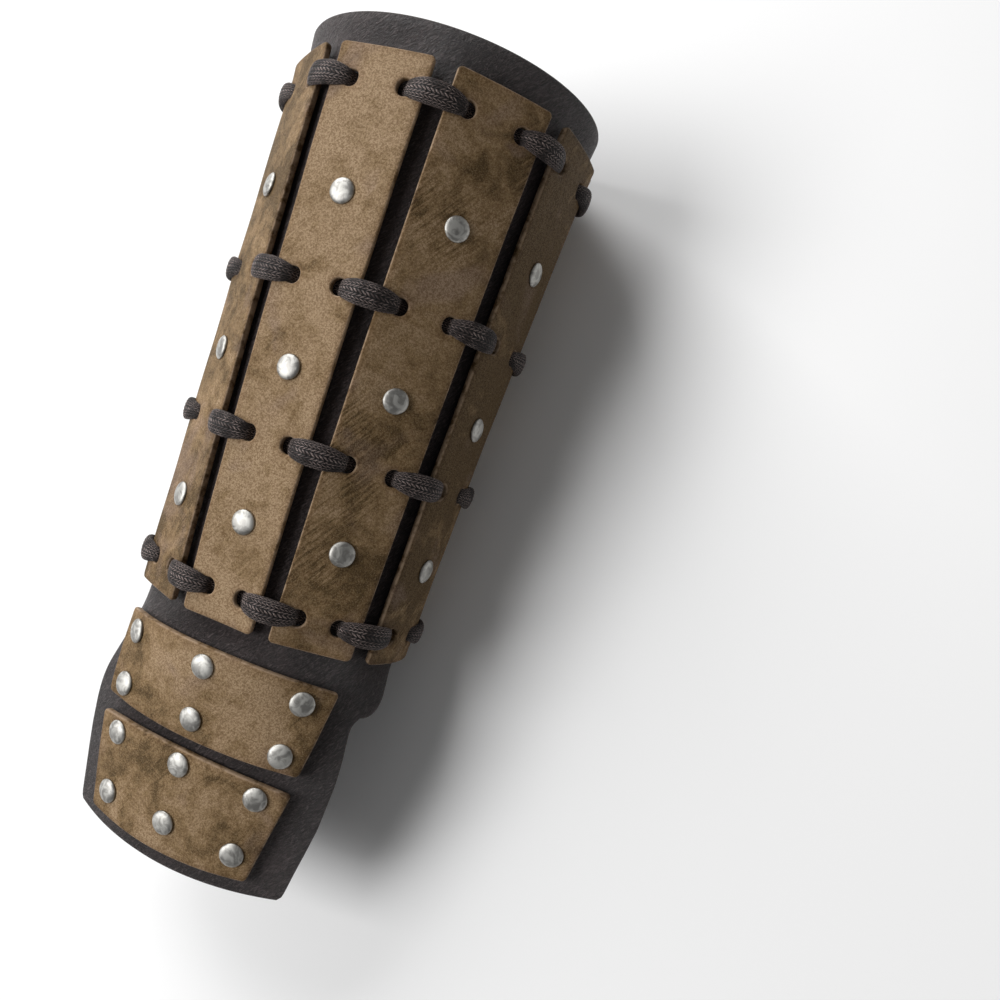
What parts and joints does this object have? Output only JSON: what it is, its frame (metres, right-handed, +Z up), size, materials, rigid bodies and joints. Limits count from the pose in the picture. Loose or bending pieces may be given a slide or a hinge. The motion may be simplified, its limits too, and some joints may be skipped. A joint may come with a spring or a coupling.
{
  "type": "studded leather bracer",
  "caption": "Leather forearm bracer: a dark leather sleeve with a hand flap, tan leather slats laced round it with braided cords, cross plates and domed metal rivets.",
  "frame": {"origin": "middle of the bounding box at the level of the surface that the bracer lies on, under its inner side", "axes": "+Y along the sleeve toward the elbow end, with the hand flap toward -Y; +Z up through the middle slat; +X to the right seen from above with the elbow end away"},
  "size_m": [0.1078, 0.2789, 0.0977],
  "materials": {
    "tan_leather": "distressed suede-like tan leather with burnished edges",
    "dark_leather": "dark brown wrinkled leather with a soft sheen",
    "waxed_braid": "dark brown waxed braid",
    "nickel": "worn nickel silver"
  },
  "bodies": {
    "root": {"backing": "dark_leather", "slat_middle": "tan_leather", "slat_left_1": "tan_leather", "slat_left_2": "tan_leather", "slat_left_3": "tan_leather", "slat_right_1": "tan_leather", "slat_right_2": "tan_leather", "slat_right_3": "tan_leather", "plate_upper": "tan_leather", "plate_lower": "tan_leather", "cord_wrist": "waxed_braid", "cord_lower": "waxed_braid", "cord_upper": "waxed_braid", "cord_elbow": "waxed_braid", "rivet_slat_middle_wrist": "nickel", "rivet_slat_middle_middle": "nickel", "rivet_slat_middle_elbow": "nickel", "rivet_slat_left_1_wrist": "nickel", "rivet_slat_left_1_middle": "nickel", "rivet_slat_left_1_elbow": "nickel", "rivet_slat_left_2_wrist": "nickel", "rivet_slat_left_2_middle": "nickel", "rivet_slat_left_2_elbow": "nickel", "rivet_slat_left_3_wrist": "nickel", "rivet_slat_left_3_middle": "nickel", "rivet_slat_left_3_elbow": "nickel", "rivet_slat_right_1_wrist": "nickel", "rivet_slat_right_1_middle": "nickel", "rivet_slat_right_1_elbow": "nickel", "rivet_slat_right_2_wrist": "nickel", "rivet_slat_right_2_middle": "nickel", "rivet_slat_right_2_elbow": "nickel", "rivet_slat_right_3_wrist": "nickel", "rivet_slat_right_3_middle": "nickel", "rivet_slat_right_3_elbow": "nickel", "rivet_upper_first_left": "nickel", "rivet_upper_first_middle": "nickel", "rivet_upper_first_right": "nickel", "rivet_upper_second_left": "nickel", "rivet_upper_second_middle": "nickel", "rivet_upper_second_right": "nickel", "rivet_lower_first_left": "nickel", "rivet_lower_first_middle": "nickel", "rivet_lower_first_right": "nickel", "rivet_lower_second_left": "nickel", "rivet_lower_second_middle": "nickel", "rivet_lower_second_right": "nickel"}
  },
  "joints": []
}
